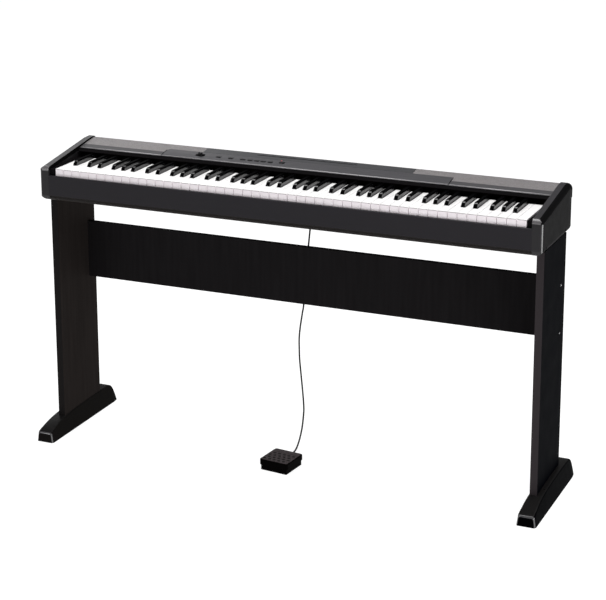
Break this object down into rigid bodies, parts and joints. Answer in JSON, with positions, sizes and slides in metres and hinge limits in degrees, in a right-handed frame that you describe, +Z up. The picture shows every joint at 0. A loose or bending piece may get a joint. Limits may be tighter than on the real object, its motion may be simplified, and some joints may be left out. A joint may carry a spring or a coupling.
{
  "type": "digital piano on stand",
  "caption": "Slim digital piano with a full keyboard of hinged keys, a control panel and speaker grilles, on a two-board stand with a sustain pedal on the floor.",
  "frame": {"origin": "on the floor, midway between the feet and midway along their length", "axes": "+X along the keyboard towards the treble, +Y to the rear, +Z up"},
  "size_m": [1.334, 0.34, 0.7564],
  "materials": {
    "case_plastic": "dark charcoal moulded plastic, fine grain",
    "panel_plastic": "dark grey satin plastic",
    "grille": "mid-grey finely perforated grille",
    "inner_black": "black plastic",
    "white_key": "white satin-gloss plastic",
    "black_key": "black gloss plastic",
    "button": "dark grey plastic",
    "lamp": "red translucent lens",
    "chassis": "plated sheet steel",
    "steel": "bright steel",
    "felt": "red felt strip",
    "circuit_board": "green circuit board",
    "stand_board": "black melamine-faced board",
    "foot_plastic": "black moulded plastic",
    "dark_steel": "black-plated steel",
    "pedal_plastic": "black moulded plastic",
    "pedal_rubber": "dark brown-grey rubber",
    "cord_rubber": "black flexible jacket"
  },
  "bodies": {
    "piano_and_stand": {"lower_case": "case_plastic", "front_rail": "case_plastic", "left_end_block": "case_plastic", "right_end_block": "case_plastic", "left_end_cap": "case_plastic", "right_end_cap": "case_plastic", "top_cover": "case_plastic", "control_panel": "panel_plastic", "music_ledge": "panel_plastic", "left_grille": "grille", "right_grille": "grille", "key_back_cover": "inner_black", "key_chassis": "chassis", "key_pivot_rail": "steel", "key_stop_felt": "felt", "contact_board": "circuit_board", "speaker_drivers": "inner_black", "main_board": "circuit_board", "rear_sockets": "inner_black", "power_lamp": "lamp", "left_leg": "stand_board", "right_leg": "stand_board", "left_foot": "foot_plastic", "right_foot": "foot_plastic", "back_panel": "stand_board", "leg_brackets": "dark_steel", "stand_bolts": "dark_steel", "panel_screws": "dark_steel", "pedal_base": "pedal_plastic", "pedal_pin": "steel", "pedal_spring": "steel", "pedal_cord": "cord_rubber", "pedal_plug": "cord_rubber"},
    "key_c": {"key_c": "white_key"},
    "key_c_sharp": {"key_c_sharp": "black_key"},
    "key_d": {"key_d": "white_key"},
    "key_d_sharp": {"key_d_sharp": "black_key"},
    "key_e": {"key_e": "white_key"},
    "key_f": {"key_f": "white_key"},
    "key_f_sharp": {"key_f_sharp": "black_key"},
    "key_g": {"key_g": "white_key"},
    "key_g_sharp": {"key_g_sharp": "black_key"},
    "key_a": {"key_a": "white_key"},
    "key_a_sharp": {"key_a_sharp": "black_key"},
    "key_b": {"key_b": "white_key"},
    "bass_white_keys": {"bass_white_keys": "white_key"},
    "bass_black_keys": {"bass_black_keys": "black_key"},
    "treble_white_keys": {"treble_white_keys": "white_key"},
    "treble_black_keys": {"treble_black_keys": "black_key"},
    "volume_knob": {"volume_knob": "button"},
    "button_1": {"button_1": "button"},
    "button_2": {"button_2": "button"},
    "button_3": {"button_3": "button"},
    "button_4": {"button_4": "button"},
    "button_5": {"button_5": "button"},
    "button_6": {"button_6": "button"},
    "button_7": {"button_7": "button"},
    "power_button": {"power_button": "button"},
    "pedal_plate": {"pedal_plate": "pedal_plastic", "pedal_tread": "pedal_rubber"}
  },
  "joints": [
    {"name": "key_c_press", "type": "hinge", "parent": "piano_and_stand", "child": "key_c", "pos_m": [0, 0.055, 0.705], "axis": [1, 0, 0], "range_deg": [0, 3.22], "stiffness_Nm_per_rad": 0.3, "springref_deg": -26.93},
    {"name": "key_c_sharp_press", "type": "hinge", "parent": "piano_and_stand", "child": "key_c_sharp", "pos_m": [0, 0.055, 0.705], "axis": [1, 0, 0], "range_deg": [0, 3.22], "stiffness_Nm_per_rad": 0.2, "springref_deg": -26.93},
    {"name": "key_d_press", "type": "hinge", "parent": "piano_and_stand", "child": "key_d", "pos_m": [0, 0.055, 0.705], "axis": [1, 0, 0], "range_deg": [0, 3.22], "stiffness_Nm_per_rad": 0.3, "springref_deg": -26.93},
    {"name": "key_d_sharp_press", "type": "hinge", "parent": "piano_and_stand", "child": "key_d_sharp", "pos_m": [0, 0.055, 0.705], "axis": [1, 0, 0], "range_deg": [0, 3.22], "stiffness_Nm_per_rad": 0.2, "springref_deg": -26.93},
    {"name": "key_e_press", "type": "hinge", "parent": "piano_and_stand", "child": "key_e", "pos_m": [0, 0.055, 0.705], "axis": [1, 0, 0], "range_deg": [0, 3.22], "stiffness_Nm_per_rad": 0.3, "springref_deg": -26.93},
    {"name": "key_f_press", "type": "hinge", "parent": "piano_and_stand", "child": "key_f", "pos_m": [0, 0.055, 0.705], "axis": [1, 0, 0], "range_deg": [0, 3.22], "stiffness_Nm_per_rad": 0.3, "springref_deg": -26.93},
    {"name": "key_f_sharp_press", "type": "hinge", "parent": "piano_and_stand", "child": "key_f_sharp", "pos_m": [0, 0.055, 0.705], "axis": [1, 0, 0], "range_deg": [0, 3.22], "stiffness_Nm_per_rad": 0.2, "springref_deg": -26.93},
    {"name": "key_g_press", "type": "hinge", "parent": "piano_and_stand", "child": "key_g", "pos_m": [0, 0.055, 0.705], "axis": [1, 0, 0], "range_deg": [0, 3.22], "stiffness_Nm_per_rad": 0.3, "springref_deg": -26.93},
    {"name": "key_g_sharp_press", "type": "hinge", "parent": "piano_and_stand", "child": "key_g_sharp", "pos_m": [0, 0.055, 0.705], "axis": [1, 0, 0], "range_deg": [0, 3.22], "stiffness_Nm_per_rad": 0.2, "springref_deg": -26.93},
    {"name": "key_a_press", "type": "hinge", "parent": "piano_and_stand", "child": "key_a", "pos_m": [0, 0.055, 0.705], "axis": [1, 0, 0], "range_deg": [0, 3.22], "stiffness_Nm_per_rad": 0.3, "springref_deg": -26.93},
    {"name": "key_a_sharp_press", "type": "hinge", "parent": "piano_and_stand", "child": "key_a_sharp", "pos_m": [0, 0.055, 0.705], "axis": [1, 0, 0], "range_deg": [0, 3.22], "stiffness_Nm_per_rad": 0.2, "springref_deg": -26.93},
    {"name": "key_b_press", "type": "hinge", "parent": "piano_and_stand", "child": "key_b", "pos_m": [0, 0.055, 0.705], "axis": [1, 0, 0], "range_deg": [0, 3.22], "stiffness_Nm_per_rad": 0.3, "springref_deg": -26.93},
    {"name": "bass_white_keys_press", "type": "hinge", "parent": "piano_and_stand", "child": "bass_white_keys", "pos_m": [0, 0.055, 0.705], "axis": [1, 0, 0], "range_deg": [0, 3.22], "stiffness_Nm_per_rad": 6.9, "springref_deg": -26.93},
    {"name": "bass_black_keys_press", "type": "hinge", "parent": "piano_and_stand", "child": "bass_black_keys", "pos_m": [0, 0.055, 0.705], "axis": [1, 0, 0], "range_deg": [0, 3.22], "stiffness_Nm_per_rad": 3.2, "springref_deg": -26.93},
    {"name": "treble_white_keys_press", "type": "hinge", "parent": "piano_and_stand", "child": "treble_white_keys", "pos_m": [0, 0.055, 0.705], "axis": [1, 0, 0], "range_deg": [0, 3.22], "stiffness_Nm_per_rad": 6.6, "springref_deg": -26.93},
    {"name": "treble_black_keys_press", "type": "hinge", "parent": "piano_and_stand", "child": "treble_black_keys", "pos_m": [0, 0.055, 0.705], "axis": [1, 0, 0], "range_deg": [0, 3.22], "stiffness_Nm_per_rad": 3, "springref_deg": -26.93},
    {"name": "button_1_press", "type": "slide", "parent": "piano_and_stand", "child": "button_1", "axis": [0, 0, -1], "range_m": [0, 0.0012], "stiffness_N_per_m": 300, "springref_m": -0.002},
    {"name": "button_2_press", "type": "slide", "parent": "piano_and_stand", "child": "button_2", "axis": [0, 0, -1], "range_m": [0, 0.0012], "stiffness_N_per_m": 300, "springref_m": -0.002},
    {"name": "button_3_press", "type": "slide", "parent": "piano_and_stand", "child": "button_3", "axis": [0, 0, -1], "range_m": [0, 0.0012], "stiffness_N_per_m": 300, "springref_m": -0.002},
    {"name": "button_4_press", "type": "slide", "parent": "piano_and_stand", "child": "button_4", "axis": [0, 0, -1], "range_m": [0, 0.0012], "stiffness_N_per_m": 300, "springref_m": -0.002},
    {"name": "button_5_press", "type": "slide", "parent": "piano_and_stand", "child": "button_5", "axis": [0, 0, -1], "range_m": [0, 0.0012], "stiffness_N_per_m": 300, "springref_m": -0.002},
    {"name": "button_6_press", "type": "slide", "parent": "piano_and_stand", "child": "button_6", "axis": [0, 0, -1], "range_m": [0, 0.0012], "stiffness_N_per_m": 300, "springref_m": -0.002},
    {"name": "button_7_press", "type": "slide", "parent": "piano_and_stand", "child": "button_7", "axis": [0, 0, -1], "range_m": [0, 0.0012], "stiffness_N_per_m": 300, "springref_m": -0.002},
    {"name": "power_button_press", "type": "slide", "parent": "piano_and_stand", "child": "power_button", "axis": [0, 0, -1], "range_m": [0, 0.0012], "stiffness_N_per_m": 300, "springref_m": -0.002},
    {"name": "volume_slide", "type": "slide", "parent": "piano_and_stand", "child": "volume_knob", "axis": [1, 0, 0], "range_m": [-0.007, 0.007]},
    {"name": "pedal_press", "type": "hinge", "parent": "piano_and_stand", "child": "pedal_plate", "pos_m": [-0.01333, -0.04818, 0.013], "axis": [0.9936, -0.1132, 0], "range_deg": [0, 4.2], "stiffness_Nm_per_rad": 6, "springref_deg": -8.59, "deforming": ["pedal_spring"]}
  ]
}
